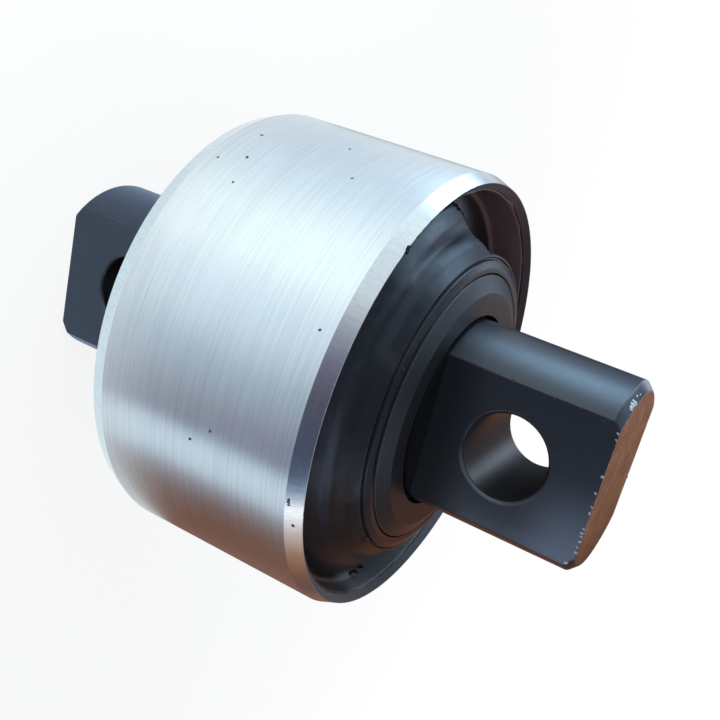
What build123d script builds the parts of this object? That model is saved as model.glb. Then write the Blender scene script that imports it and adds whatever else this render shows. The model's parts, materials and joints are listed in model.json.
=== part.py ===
from build123d import *

import os
from math import asin, atan2, degrees, hypot, radians, tan

# Rubber metal bush of a torque rod: a turned steel sleeve, a bonded rubber body,
# a steel hub and a cross bar pressed through it. Millimetres, with the origin at
# the middle of the bush, Z along the bar and the bar's milled flats facing Y.

# Outer sleeve
SLEEVE_DIA = 85.0
SLEEVE_WALL = 2.5
SLEEVE_LENGTH = 44.0
LEAD_LENGTH = 2.9  # long outer chamfer that leads the sleeve into its rod eye
LEAD_DEPTH = 1.1
MOUTH_LENGTH = 1.1  # chamfer at each mouth of the sleeve's bore
MOUTH_DEPTH = 1.3

# Hub
HUB_DIA = 52.0
HUB_LENGTH = 54.0
HUB_FACE_DIA = 46.0  # flat end face, inside the bevel
HUB_BEVEL_LENGTH = 1.3
RELIEF_GAP = 0.7  # ring of clearance round the bar at each mouth of the hub
RELIEF_DEPTH = 2.5

# Cross bar
BAR_DIA = 36.0
BAR_LENGTH = 118.0
BAR_END_CHAMFER = 1.5
FLAT_THICKNESS = 24.0  # across the two milled flats of each end
FLAT_ROOT_GAP = 0.15  # round bar left between the hub's end face and the flats
BOLT_HOLE_DIA = 15.5
BOLT_HOLE_SPACING = 84.0
BOLT_HOLE_CHAMFER = 0.5

# Rubber lip, moulded in steps round the end of the hub
SEAM_WIDTH = 0.3  # open seam between the lip and the hub
SEAM_DEPTH = 0.6
LIP_DROP = 0.05  # from the foot of the hub's bevel down to the lip's flat
LIP_FLAT_WIDTH = 1.05
LIP_SLOPE_WIDTH = 1.15
LIP_SLOPE_DROP = 0.4
GROOVE_WIDTH = 0.3
CREST_DROP = 0.8  # from the lip's flat down to the top of the shoulder's crest
CREST_RADIUS = 0.35

# Rubber shoulder, which falls away from the crest into the valley at the sleeve
VALLEY_RADIUS = 1.2
VALLEY_DEPTH = 5.0  # below the end of the sleeve

# Pocket in each end of the rubber, which takes the shoulder's place on the +Y side
POCKET_ARC = 197.0  # degrees round the hub
POCKET_TURN = -4.5  # degrees from +Y to the middle of the pocket
POCKET_DEPTH = 8.5  # below the end of the sleeve
POCKET_DRAFT = 5.0  # slope of the pocket's inner wall, in degrees
POCKET_CORNER = 1.2

# Rubber film that the moulding leaves up the wall of the sleeve's bore
FILM_BASE = 0.6
FILM_TIP = 0.3
FILM_STEP = 0.4  # bare steel between the film's edge and the mouth chamfer


def revolved(section, start=0.0, arc=360.0):
    """Turn a closed section, drawn as radius and height, round Z through an arc in degrees."""
    with BuildPart() as turned:
        with BuildSketch(Plane.XZ):
            add(section)
        revolve(axis=Axis.Z, revolution_arc=arc)
    return Rot(0, 0, start) * turned.part


def mirrored_face(upper_outline):
    """Close an outline, open at height 0, with its mirror image below."""
    with BuildSketch() as section:
        with BuildLine():
            add(upper_outline)
            mirror(about=Plane.XZ)
        make_face()
    return section.sketch


def outer_sleeve():
    """Thin steel ring with a long outer lead and a mouth chamfer at each end."""
    outer = SLEEVE_DIA / 2
    bore = outer - SLEEVE_WALL
    end = SLEEVE_LENGTH / 2
    with BuildLine() as wall:
        Polyline(
            (bore, 0),
            (bore, end - MOUTH_LENGTH),
            (bore + MOUTH_DEPTH, end),
            (outer - LEAD_DEPTH, end),
            (outer, end - LEAD_LENGTH),
            (outer, 0),
        )
    return revolved(mirrored_face(wall.line))


def hub():
    """Thick steel tube, bevelled outside, with a relief round the bar at each end."""
    bore = BAR_DIA / 2
    end = HUB_LENGTH / 2
    with BuildLine() as wall:
        Polyline(
            (bore, 0),
            (bore, end - RELIEF_DEPTH),
            (bore + RELIEF_GAP, end - RELIEF_DEPTH),
            (bore + RELIEF_GAP, end),
            (HUB_FACE_DIA / 2, end),
            (HUB_DIA / 2, end - HUB_BEVEL_LENGTH),
            (HUB_DIA / 2, 0),
        )
    return revolved(mirrored_face(wall.line))


def shoulder(crest, film_start):
    """Outline from the crest down the shoulder and through the valley to the film."""
    valley = (film_start[0] - VALLEY_RADIUS, film_start[1])
    run, drop = valley[0] - crest[0], crest[1] - valley[1]

    # The shoulder is the line that touches the crest from outside, the valley from inside.
    slope = atan2(drop, run) + asin((CREST_RADIUS + VALLEY_RADIUS) / hypot(run, drop))
    turn = 90 + degrees(slope)
    with BuildLine() as outline:
        rim = CenterArc(crest, CREST_RADIUS, 180, -turn)
        hollow = CenterArc(valley, VALLEY_RADIUS, 360 - turn, turn)
        Line(rim @ 1, hollow @ 0)
    return outline.line


def pocket(crest, film_start):
    """Outline from the crest down the pocket's inner wall and across its floor to the film."""
    floor = SLEEVE_LENGTH / 2 - POCKET_DEPTH
    draft = radians(POCKET_DRAFT)
    with BuildLine() as outline:
        rim = CenterArc(crest, CREST_RADIUS, 180, POCKET_DRAFT - 180)
        top = rim @ 1
        foot = (top.X + (top.Y - floor) * tan(draft), floor)
        FilletPolyline(top, foot, (film_start[0], floor), film_start, radius=POCKET_CORNER)
    return outline.line


def rubber_section(crest_to_film):
    """Section of the rubber, with the given form between the crest and the sleeve's film."""
    hub_wall = HUB_DIA / 2
    bore = SLEEVE_DIA / 2 - SLEEVE_WALL
    lip = HUB_LENGTH / 2 - HUB_BEVEL_LENGTH - LIP_DROP
    flat_start = hub_wall + SEAM_WIDTH
    slope_start = flat_start + LIP_FLAT_WIDTH
    groove_start = slope_start + LIP_SLOPE_WIDTH
    groove_end = groove_start + GROOVE_WIDTH
    crest = (groove_end + CREST_RADIUS, lip - CREST_DROP - CREST_RADIUS)
    film_start = (bore - FILM_BASE, SLEEVE_LENGTH / 2 - VALLEY_DEPTH + VALLEY_RADIUS)
    film_top = SLEEVE_LENGTH / 2 - MOUTH_LENGTH - FILM_STEP

    with BuildLine() as upper:
        Polyline(
            (hub_wall, 0),
            (hub_wall, lip - SEAM_DEPTH),
            (flat_start, lip),
            (slope_start, lip),
            (groove_start, lip - LIP_SLOPE_DROP),
            (groove_start, crest[1]),
            (groove_end, crest[1]),
        )
        add(crest_to_film(crest, film_start))
        Polyline(
            film_start,
            (bore - FILM_TIP, film_top),
            (bore, film_top),
            (bore, 0),
        )
    return mirrored_face(upper.line)


def rubber_body():
    """Rubber bonded between the hub and the sleeve, shouldered on one side, pocketed on the other."""
    pocket_start = 90 + POCKET_TURN - POCKET_ARC / 2
    pocket_end = pocket_start + POCKET_ARC
    pocketed = revolved(rubber_section(pocket), pocket_start, POCKET_ARC)
    shouldered = revolved(rubber_section(shoulder), pocket_end, 360 - POCKET_ARC)
    return pocketed + shouldered


def cross_bar():
    """Round bar, chamfered and milled flat at both ends, with a bolt hole through each."""
    flat_root = HUB_LENGTH / 2 + FLAT_ROOT_GAP
    flat_length = BAR_LENGTH / 2 - flat_root
    hole_radius = BOLT_HOLE_DIA / 2
    with BuildPart() as bar:
        Cylinder(BAR_DIA / 2, BAR_LENGTH)
        ends = bar.faces().filter_by(Axis.Z).edges()
        chamfer(ends, BAR_END_CHAMFER)
        for end in (1, -1):
            for side in (1, -1):
                corner = (0, side * FLAT_THICKNESS / 2, end * flat_root)
                with Locations(corner):
                    Box(
                        BAR_DIA,
                        BAR_DIA,
                        flat_length,
                        align=(
                            Align.CENTER,
                            Align.MIN if side > 0 else Align.MAX,
                            Align.MIN if end > 0 else Align.MAX,
                        ),
                        mode=Mode.SUBTRACT,
                    )
            with Locations((0, 0, end * BOLT_HOLE_SPACING / 2)):
                Cylinder(
                    hole_radius,
                    FLAT_THICKNESS,
                    rotation=(90, 0, 0),
                    mode=Mode.SUBTRACT,
                )
        rims = bar.edges().filter_by(GeomType.CIRCLE)
        rims = rims.filter_by(lambda rim: abs(rim.radius - hole_radius) < 1e-6)
        chamfer(rims, BOLT_HOLE_CHAMFER)
    return bar.part


SUB_PARTS = {
    "outer_sleeve": outer_sleeve,
    "rubber_body": rubber_body,
    "hub": hub,
    "cross_bar": cross_bar,
}

os.makedirs("parts", exist_ok=True)
for name, make in SUB_PARTS.items():
    export_step(make(), f"parts/{name}.step")
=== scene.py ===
import json
from math import cos, pi, radians, sin
from random import Random

import bmesh
import bpy
from bpy.props import FloatProperty, FloatVectorProperty, IntProperty, PointerProperty
from mathutils import Matrix, Quaternion, Vector


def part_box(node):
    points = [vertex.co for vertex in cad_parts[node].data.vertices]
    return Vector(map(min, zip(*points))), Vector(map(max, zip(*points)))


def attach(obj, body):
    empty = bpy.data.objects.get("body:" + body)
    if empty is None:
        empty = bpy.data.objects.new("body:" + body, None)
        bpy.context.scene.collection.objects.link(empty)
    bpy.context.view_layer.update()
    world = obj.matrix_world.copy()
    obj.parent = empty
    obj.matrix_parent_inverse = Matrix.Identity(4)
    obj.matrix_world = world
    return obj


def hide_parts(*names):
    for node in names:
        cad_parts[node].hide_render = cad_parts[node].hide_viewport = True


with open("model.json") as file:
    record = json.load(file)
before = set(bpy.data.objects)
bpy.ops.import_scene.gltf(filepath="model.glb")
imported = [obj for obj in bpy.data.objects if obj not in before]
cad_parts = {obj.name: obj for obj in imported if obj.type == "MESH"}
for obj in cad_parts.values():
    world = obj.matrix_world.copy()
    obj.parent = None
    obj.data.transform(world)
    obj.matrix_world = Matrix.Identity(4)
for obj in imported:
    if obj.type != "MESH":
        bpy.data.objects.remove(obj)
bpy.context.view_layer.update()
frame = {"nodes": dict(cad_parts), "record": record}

bl_info = {
    "name": "Rubber Metal Bush",
    "version": (1, 0, 0),
    "blender": (4, 5, 0),
    "location": "View3D > Sidebar > Bush",
    "description": "Dresses a bonded rubber bush with turned steel, moulded rubber and worn paint",
    "category": "Object",
}

MM = 0.001
BODY = "root"

# Sizes that come from the frame, in metres
SLEEVE_RADIUS, _, SLEEVE_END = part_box("outer_sleeve")[1]
BORE_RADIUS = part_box("rubber_body")[1].x
HUB_RADIUS, _, HUB_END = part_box("hub")[1]
BAR_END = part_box("cross_bar")[1].z
MOUNTS = {mount["name"]: mount for mount in frame["record"]["mounts"]}
HOLE_RADIUS = MOUNTS["upper_bolt_hole"]["dims"]["r_mm"] * MM
HOLE_HEIGHT = MOUNTS["upper_bolt_hole"]["pos_m"][2]
FLAT_SIDE = abs(MOUNTS["upper_front_seat"]["pos_m"][1])
STRAIGHT_END = MOUNTS["sleeve_outside"]["dims"]["length_mm"] * MM / 2

# Forms of the rubber that go only part of the way round: azimuths in degrees, lengths in metres
POCKET_MIDDLE = 85.5
POCKET_HALF_ARC = 98.5
POCKET_RADIUS = 34 * MM  # the pocket's ends are exact at this radius, and twist away from it
POCKET_TWIST = 1.6  # degrees for each millimetre of radius
SHOULDER_MIDDLE = POCKET_MIDDLE + 180
FOLD_MIDDLE = 194.0  # where the shoulder's dent and bulge are at their full depth
FOLD_HALF_ARC = 30.0
FOLD_ELSEWHERE = 0.5  # share of that depth on the rest of the shoulder
BULGE_RADIUS, BULGE_HALF_WIDTH = 36.4 * MM, 3.6 * MM
DENT_RADIUS, DENT_HALF_WIDTH = 32.7 * MM, 1.9 * MM
DENT_SHARE = 0.6  # depth of the dent, as a share of the bulge's height
CALM_EDGE = 1.5 * MM  # width over which the fold and the lumps fade out

# Painted shade in the crease of the dent
CREASE_SHADE_MIDDLE = 194.0
CREASE_SHADE_HALF_ARC = 22.0
CREASE_SHADE_RADIUS, CREASE_SHADE_HALF_WIDTH = 32.2 * MM, 1.7 * MM

# Black marks at the pocket's ends: azimuth in degrees, radius, height and size in millimetres
BLACK_MARKS = (
    (336.3, 30.1, 24.0, 0.5),
    (339.6, 31.0, 23.1, 0.6),
    (347.3, 36.1, 19.1, 1.1),
    (349.5, 37.4, 18.0, 1.4),
    (352.5, 38.5, 17.2, 1.5),
    (356.0, 39.1, 16.7, 1.5),
    (0.0, 39.4, 16.5, 1.2),
    (189.0, 36.6, 19.1, 0.9),
    (186.5, 35.3, 20.1, 0.6),
    (183.5, 33.7, 20.7, 0.7),
    (221.0, 38.6, 17.4, 0.7),
)

# Specks on the sleeve: azimuth in degrees, height and size in millimetres
SPECKS = (
    (212.9, -12.7, 0.28),
    (203.4, -15.0, 0.26),
    (215.9, -17.1, 0.22),
    (221.2, -11.0, 0.20),
    (196.4, -0.3, 0.22),
    (208.1, 5.9, 0.20),
    (245.2, 16.7, 0.22),
    (274.6, 3.7, 0.24),
    (278.7, 0.0, 0.24),
    (288.8, 20.7, 0.26),
    (281.9, 19.7, 0.24),
    (282.6, 19.7, 0.26),
    (283.3, 19.8, 0.22),
    (62.0, 9.0, 0.24),
    (96.0, -8.0, 0.22),
    (128.0, 12.0, 0.24),
    (151.0, -3.0, 0.20),
)

# Crumbs at the upper mouth and nibs of the mould: azimuth, radius, height and size in millimetres.
# The lower end has the same ones, turned on by another angle.
CRUMBS = (
    (222.0, 41.2, 21.9, 0.40),
    (221.1, 41.3, 22.0, 0.52),
    (220.2, 41.1, 21.8, 0.44),
    (219.2, 41.0, 21.7, 0.30),
    (217.0, 41.2, 21.9, 0.30),
    (215.8, 41.1, 21.8, 0.26),
    (211.0, 41.2, 21.9, 0.24),
    (209.9, 41.1, 21.8, 0.30),
    (206.8, 41.1, 21.8, 0.22),
    (203.5, 41.1, 21.8, 0.22),
)
NIBS = (
    (316.9, 29.4, 24.8, 0.60),
    (244.1, 27.8, 25.5, 0.36),
    (118.0, 29.2, 24.9, 0.40),
    (21.0, 29.4, 24.8, 0.34),
)
LOWER_END_TURN = 140

# Paint chips in millimetres, on the bar's round side: X, Y, depth below the end face and size
ROUND_CHIPS = (
    (-15.9, -6.2, 0.5, 0.46),
    (-15.2, -7.6, 0.5, 0.40),
    (-15.6, -6.9, 0.4, 0.36),
    (-15.5, -7.0, 1.0, 0.26),
    (-16.4, -4.6, 0.9, 0.20),
    (-16.6, -3.4, 0.6, 0.16),
)

# The same on the near flat, without Y
FLAT_CHIPS = (
    (-11.7, 0.4, 0.18),
    (-10.6, 0.3, 0.15),
    (-3.9, 0.3, 0.24),
    (-0.8, 0.5, 0.18),
    (1.7, 0.3, 0.16),
    (2.9, 0.3, 0.20),
    (5.9, 0.3, 0.18),
    (6.7, 0.4, 0.22),
    (7.3, 0.3, 0.18),
    (8.3, 0.2, 0.20),
    (9.4, 0.3, 0.15),
    (10.4, 0.2, 0.22),
    (12.9, 1.2, 0.26),
)
HIDDEN_CHIPS = 7  # at each end of the far flat

# Dark nicks along the flats' long edges: X, side of the flat, height and size in millimetres
NICKS = (
    (-13.4, -1, 39.5, 0.24),
    (-13.3, -1, 47.1, 0.20),
    (-13.4, -1, 56.4, 0.20),
    (13.3, 1, 36.8, 0.22),
    (-13.3, 1, -44.0, 0.24),
)

# Camera, fitted to the photograph: places in metres, roll and shift as Blender has them
CAMERA_PLACE = Vector((-0.0586, -0.1571, 0.0828))
CAMERA_AIM = Vector((0.00725, 0.00388, 0.0168))
CAMERA_ROLL = radians(113.63)
CAMERA_LENS = 47.43
CAMERA_SHIFT = (-0.0669, 0.0850)

# Cards that stand round the part: azimuth in degrees, tone low down, tone higher up
CARDS = (
    (10, (0.25, 0.14, 0.11), (0.22, 0.10, 0.06)),
    (48, (0.22, 0.13, 0.10), (0.48, 0.21, 0.12)),
    (62, (0.22, 0.13, 0.10), (0.34, 0.17, 0.10)),
    (90, (0.08, 0.07, 0.08), (0.52, 0.38, 0.32)),
    (100, (0.06, 0.06, 0.07), (0.08, 0.07, 0.07)),
    (110, (0.06, 0.06, 0.07), (0.04, 0.04, 0.05)),
    (132, (0.80, 0.90, 0.95), (0.42, 0.52, 0.66)),
    (155, (0.74, 0.86, 0.96), (0.46, 0.60, 0.82)),
    (172, (0.76, 0.92, 1.04), (0.80, 1.02, 1.25)),
    (190, (0.90, 1.10, 1.24), (1.00, 1.20, 1.26)),
    (210, (1.18, 1.40, 1.43), (0.84, 0.98, 1.08)),
    (225, (1.20, 1.40, 1.43), (0.76, 0.88, 0.94)),
    (240, (0.92, 1.12, 1.26), (0.36, 0.40, 0.48)),
    (252, (0.78, 0.96, 1.07), (0.18, 0.18, 0.26)),
    (266, (0.50, 0.64, 0.76), (0.10, 0.10, 0.14)),
    (284, (0.33, 0.36, 0.45), (0.07, 0.09, 0.15)),
    (294, (0.26, 0.29, 0.38), (0.07, 0.09, 0.15)),
    (299, (0.65, 0.80, 0.94), (0.24, 0.31, 0.42)),
    (304, (0.76, 0.92, 1.04), (0.62, 0.74, 0.92)),
    (308, (0.72, 0.88, 1.00), (1.45, 1.52, 1.54)),
    (313, (0.62, 0.76, 0.88), (1.00, 1.00, 1.04)),
    (319, (0.31, 0.31, 0.36), (0.70, 0.58, 0.54)),
    (330, (0.21, 0.13, 0.11), (0.42, 0.25, 0.16)),
    (346, (0.21, 0.11, 0.08), (0.24, 0.11, 0.07)),
    (358, (0.23, 0.12, 0.09), (0.11, 0.07, 0.08)),
)
CARD_RADIUS = 92 * MM
CARD_SIDES = 96
CARD_FOOT = 0.2 * MM - BAR_END
CARD_TOP = 115 * MM
CARD_CHANGE = (0.0, 20 * MM)  # the tones change from low to high between these heights
CARD_TOP_GAIN = (0.50, 0.57, 0.72)  # share of those tones that is left above the next two heights
CARD_TOP_CHANGE = (45 * MM, 70 * MM)
CEILING_EDGE = 8 * MM  # the cards take on the ceiling's tone over this height below it
CEILING_TONE = (0.12, 0.16, 0.25)
FLOOR_TONES = ((0.60, 0.82, 1.14), (0.86, 0.95, 1.0))  # near the part's axis, farther out
FLOOR_CHANGE = (35 * MM, 60 * MM)

# Glows on the cards: azimuth and half width in degrees, height and half height in millimetres, tone
GLOWS = (
    (162, 24, 34, 50, (2.5, 4.1, 5.7)),
    (148, 30, 92, 34, (3.4, 4.8, 6.3)),
    (107, 19, 67, 26, (2.1, 2.4, 2.9)),
    (298, 11, 54, 14, (1.6, 2.3, 3.4)),
    (345, 24, 118, 26, (1.2, 1.4, 1.9)),
)

# Pale floor: distances from the part in metres between which its shadow fades to plain white
FLOOR_REACH = 3.0
FLOOR_FADE = (0.12, 0.40)
WHITE_NEAR_PART = 0.85

# Colours
BLACK = (0.0, 0.0, 0.0)
WHITE = (1.0, 1.0, 1.0)
# Painted highlight: gain that lifts the colour of the lower lead chamfer above the upper one
LOWER_LEAD_HIGHLIGHT_GAIN = (1.10, 1.12, 1.03)
# Painted reflection on the rubber left in the sleeve's mouths: brown, then blue-grey
MOUTH_REFLECTION_TONES = ((0.030, 0.022, 0.025), (0.060, 0.068, 0.082))
# Painted shade and painted brown reflection on the rubber film in the bore
FILM_SHADE_AND_REFLECTION = ((0.028, 0.030, 0.038), (0.110, 0.068, 0.075))
# Painted light on the bore film
LIT_FILM_TONE = (0.120, 0.138, 0.165)
# Black of the painted shade in the dent's crease and of the black marks at the pocket's ends
SHADE_AND_MARK_BLACK = (0.001, 0.001, 0.001)
RUBBED_COAT = (0.22, 0.22, 0.23)
WORN_STEEL = (0.40, 0.41, 0.43)
# Painted shade in the bolt holes
HOLE_SHADE_TONE = (0.010, 0.010, 0.011)
PALE_DUST = (0.16, 0.16, 0.17)
# Painted shade near the hub and in the bolt holes
SHADE_BLACK = (0.003, 0.003, 0.004)
# Painted highlight on the bolt holes' chamfers
CHAMFER_HIGHLIGHT_TONE = (0.040, 0.044, 0.055)
# Painted reflection on the flats near the upper end
FLAT_REFLECTION_TONE = (0.055, 0.068, 0.100)
ROOM_TINT = (0.86, 0.94, 1.0)
KEY_TINT = (0.84, 0.93, 1.0)
FILL_TINT = (0.90, 0.96, 1.0)

WELD = 0.001 * MM
LEAST_BEND = radians(3)  # points of a section that bends less than this are left out
SHARPEST_CURVE = radians(15)  # a section that bends more than this at a point has an edge there
CHANGING_STEP = 0.3 * MM  # between points of the rubber's section where the pocket changes it
CROWDING = 1.3  # above 1, those points stand closer near the crest
FLAT_ENOUGH = radians(0.3)  # faces of the bar that bend less than this are joined
MILLED_EDGE = radians(25)  # the bar's edges that bend more than this are broken
NUMBER, WHOLE, VECTOR = "NodeSocketFloat", "NodeSocketInt", "NodeSocketVector"
GEOMETRY, OBJECT, MATERIAL = "NodeSocketGeometry", "NodeSocketObject", "NodeSocketMaterial"


def colour_setting(name, description, value):
    """Colour that a user may change."""
    return FloatVectorProperty(
        name=name, description=description, subtype="COLOR", min=0.0, max=1.0, default=value
    )


def length_setting(name, description, millimetres):
    """Length that a user may change."""
    return FloatProperty(
        name=name, description=description, unit="LENGTH", precision=5, default=millimetres * MM
    )


class BushSleeveSettings(bpy.types.PropertyGroup):
    """Looks of the turned outer sleeve."""

    steel_colour: colour_setting(
        "Steel colour", "Colour that the turned steel gives its reflections", (0.74, 0.75, 0.76)
    )
    edge_break: length_setting("Edge break", "Radius left on each turned edge", 0.15)
    mark_pitch: length_setting("Turning pitch", "Average distance between two turning marks", 0.35)


class BushRubberSettings(bpy.types.PropertyGroup):
    """Looks of the moulded rubber."""

    rubber_colour: colour_setting("Rubber colour", "Colour of the black rubber", (0.006, 0.0065, 0.008))
    edge_round: length_setting("Edge rounding", "Radius on the edges of the moulding", 0.12)
    fold_depth: length_setting(
        "Fold depth", "Height of the bulge on the shoulder where it is tallest, beside the pocket", 0.9
    )
    lump_height: length_setting(
        "Lump height", "How far the moulded surface wanders from its turned form", 0.15
    )
    lump_size: length_setting("Lump size", "Distance over which the moulded surface wanders", 11)
    flash_height: length_setting(
        "Flash height", "Tallest point of the ragged skin of rubber left on the bore", 1.0
    )
    flash_thickness: length_setting(
        "Flash thickness", "Thickness of the ragged skin of rubber left on the bore", 0.25
    )


class BushHubSettings(bpy.types.PropertyGroup):
    """Looks of the coated hub."""

    coat_colour: colour_setting(
        "Coat colour", "Colour of the thin black coat on the hub", (0.009, 0.009, 0.010)
    )
    edge_break: length_setting("Edge break", "Radius left on each edge of the hub", 0.2)


class BushBarSettings(bpy.types.PropertyGroup):
    """Looks of the painted cross bar."""

    paint_colour: colour_setting("Paint colour", "Colour of the black paint", (0.008, 0.010, 0.016))
    bare_colour: colour_setting(
        "Bare end colour", "Colour of the sawn and tarnished end faces", (0.42, 0.170, 0.070)
    )
    edge_break: length_setting("Edge break", "Width of the small bevel on each milled edge", 0.2)
    chip_seed: IntProperty(
        name="Chip seed",
        description="Seed of the paint chips on the side that the photograph hides",
        default=7,
    )


class BushStudioSettings(bpy.types.PropertyGroup):
    """Light and floor round the part."""

    floor_colour: colour_setting("Floor colour", "Colour of the pale floor", (0.9, 0.9, 0.9))
    key_power: FloatProperty(
        name="Key power",
        description="Power of the large soft lamp above and to the left",
        unit="POWER",
        default=2.0,
    )
    fill_power: FloatProperty(
        name="Fill power",
        description="Power of the soft lamp near the camera",
        unit="POWER",
        default=0.8,
    )
    room_strength: FloatProperty(
        name="Room strength",
        description="Strength of the even light from all round",
        default=0.55,
    )


# Node trees


class Wire:
    """Output of a node in a tree, with which sums can be written as with a number."""

    def __init__(self, tree, socket):
        self.tree = tree
        self.socket = socket

    def __add__(self, other):
        return maths(self.tree, "ADD", self, other)

    def __sub__(self, other):
        return maths(self.tree, "SUBTRACT", self, other)

    def __rsub__(self, other):
        return maths(self.tree, "SUBTRACT", other, self)

    def __mul__(self, other):
        return maths(self.tree, "MULTIPLY", self, other)

    def __truediv__(self, other):
        return maths(self.tree, "DIVIDE", self, other)

    def __rtruediv__(self, other):
        return maths(self.tree, "DIVIDE", other, self)

    def __or__(self, other):
        """The larger of two masks."""
        return maths(self.tree, "MAXIMUM", self, other)

    def __abs__(self):
        return maths(self.tree, "ABSOLUTE", self)


def fill(socket, value):
    """Link a socket to a wire, or give it a value of its own."""
    if isinstance(value, Wire):
        value.tree.links.new(value.socket, socket)
    else:
        socket.default_value = value


def new_node(tree, kind, inputs=None, **settings):
    """Add a node, set its properties, and fill its inputs by name or number."""
    made = tree.nodes.new(kind)
    for key, value in settings.items():
        setattr(made, key, value)
    for key, value in (inputs or {}).items():
        fill(made.inputs[key], value)
    return made


def add_node(tree, kind, inputs=None, output=0, **settings):
    """Add a node and return one of its outputs."""
    return Wire(tree, new_node(tree, kind, inputs, **settings).outputs[output])


def shape_node(tree, kind, inputs=None, **settings):
    """Add a Geometry node and return its first output."""
    return add_node(tree, f"GeometryNode{kind}", inputs, **settings)


def maths(tree, operation, *values):
    """One step of arithmetic on numbers."""
    return add_node(tree, "ShaderNodeMath", dict(enumerate(values)), operation=operation)


def vector_maths(operation, first, second=BLACK):
    """One step of arithmetic on vectors or colours."""
    output = "Value" if operation in {"DOT_PRODUCT", "DISTANCE"} else "Vector"
    inputs = {0: first, 1: second}
    return add_node(first.tree, "ShaderNodeVectorMath", inputs, output, operation=operation)


def scaled(amount, vector):
    """Vector or colour, multiplied by a number."""
    inputs = {0: vector, "Scale": amount}
    return add_node(amount.tree, "ShaderNodeVectorMath", inputs, operation="SCALE")


def vector_of(tree, *parts):
    """Vector put together from three numbers."""
    return add_node(tree, "ShaderNodeCombineXYZ", dict(enumerate(parts)))


def split(vector):
    """The three numbers that make up a vector."""
    outputs = new_node(vector.tree, "ShaderNodeSeparateXYZ", {0: vector}).outputs
    return [Wire(vector.tree, output) for output in outputs]


def place_in(tree):
    """Place of a point of the piece, whole and split into X, Y and Z."""
    if tree.bl_idname == "ShaderNodeTree":
        place = add_node(tree, "ShaderNodeTexCoord", output="Object")
    else:
        place = shape_node(tree, "InputPosition")
    return place, *split(place)


def attribute(tree, name, data_type):
    """Value that a mesh holds under a name."""
    return shape_node(tree, "InputNamedAttribute", {"Name": name}, data_type=data_type)


def step(value, low, high):
    """Smooth step from 0 to 1 as a value goes from low to high."""
    inputs = {"Value": value, "From Min": low, "From Max": high}
    return add_node(value.tree, "ShaderNodeMapRange", inputs, interpolation_type="SMOOTHSTEP")


def hump(value, middle, half_width):
    """Smooth hump of height 1 at a value, gone at half a width on either side."""
    return step(abs(value - middle), half_width, 0.0)


def mix_colours(factor, first, second):
    """Mix two colours, each a wire or three numbers."""
    first, second = (c if isinstance(c, Wire) else (*c, 1.0) for c in (first, second))
    inputs = {0: factor, 6: first, 7: second}
    return add_node(factor.tree, "ShaderNodeMix", inputs, output=2, data_type="RGBA")


def mix_values(factor, first, second):
    """Mix two numbers."""
    return add_node(factor.tree, "ShaderNodeMix", {0: factor, 2: first, 3: second})


def length_of(first, second):
    """Length of a flat vector, given its two parts."""
    return maths(first.tree, "SQRT", second * second + first * first)


def turned_from(x, y, azimuth):
    """Angle in degrees round Z from an azimuth to a place, from -180 to 180."""
    ahead, aside = cos(radians(azimuth)), sin(radians(azimuth))
    forward = x * ahead + y * aside
    sideways = x * -aside + y * ahead
    return maths(x.tree, "DEGREES", maths(x.tree, "ARCTAN2", sideways, forward))


def noise_on(vector, scale=1.0, detail=3.0, roughness=0.6):
    """Noise read at a vector."""
    inputs = {"Vector": vector, "Scale": scale, "Detail": detail, "Roughness": roughness}
    return add_node(vector.tree, "ShaderNodeTexNoise", inputs)


def new_group(name, kind, inputs, outputs):
    """Start a node group with named sockets, given as name, type and default."""
    group = bpy.data.node_groups.new(name, kind)
    for label, socket_type, default in inputs:
        made = group.interface.new_socket(label, in_out="INPUT", socket_type=socket_type)
        if default is not None:
            made.default_value = default
    for label, socket_type in outputs:
        group.interface.new_socket(label, in_out="OUTPUT", socket_type=socket_type)
    sockets = group.nodes.new("NodeGroupInput").outputs
    given = {label: Wire(group, sockets[label]) for label, *_ in inputs}
    return group, given, group.nodes.new("NodeGroupOutput").inputs


def turning_marks():
    """Fine rings that a lathe tool leaves round Z, which come and go on the way round."""
    inputs = [("Pitch", NUMBER, 0.35 * MM), ("Wander", NUMBER, 60.0)]
    outputs = [("Coarse", NUMBER), ("Fine", NUMBER)]
    tree, given, out = new_group("Turning Marks", "ShaderNodeTree", inputs, outputs)
    _, x, y, z = place_in(tree)
    along = (z + length_of(x, y)) / given["Pitch"]
    across = [part * given["Wander"] for part in (x, y)]
    fill(out["Coarse"], noise_on(vector_of(tree, *across, along), detail=4.0))
    fill(out["Fine"], noise_on(vector_of(tree, *across, along * 3.1), detail=2.0))
    return tree


def surface_grain():
    """Even grain of a moulded or painted surface, coarse and fine."""
    inputs = [("Size", NUMBER, 1.0 * MM)]
    outputs = [("Coarse", NUMBER), ("Fine", NUMBER)]
    tree, given, out = new_group("Surface Grain", "ShaderNodeTree", inputs, outputs)
    place = place_in(tree)[0]
    scale = 1.0 / given["Size"]
    fill(out["Coarse"], noise_on(place, scale))
    fill(out["Fine"], noise_on(place, scale * 4.3))
    return tree


def edge_wear():
    """Mask of worn edges, broken up into patches."""
    inputs = [("Width", NUMBER, 0.5 * MM), ("Amount", NUMBER, 0.5), ("Patch", NUMBER, 1.5 * MM)]
    tree, given, out = new_group("Edge Wear", "ShaderNodeTree", inputs, [("Wear", NUMBER)])
    rounded = add_node(tree, "ShaderNodeBevel", {"Radius": given["Width"]}, samples=6)
    normal = add_node(tree, "ShaderNodeNewGeometry", output="Normal")
    edge = step(vector_maths("DOT_PRODUCT", rounded, normal), 0.995, 0.87)
    noise = noise_on(place_in(tree)[0], 1.0 / given["Patch"], 5.0)
    limit = 1.0 - given["Amount"]
    fill(out["Wear"], edge * step(noise, limit - 0.05, limit + 0.05))
    return tree


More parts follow.
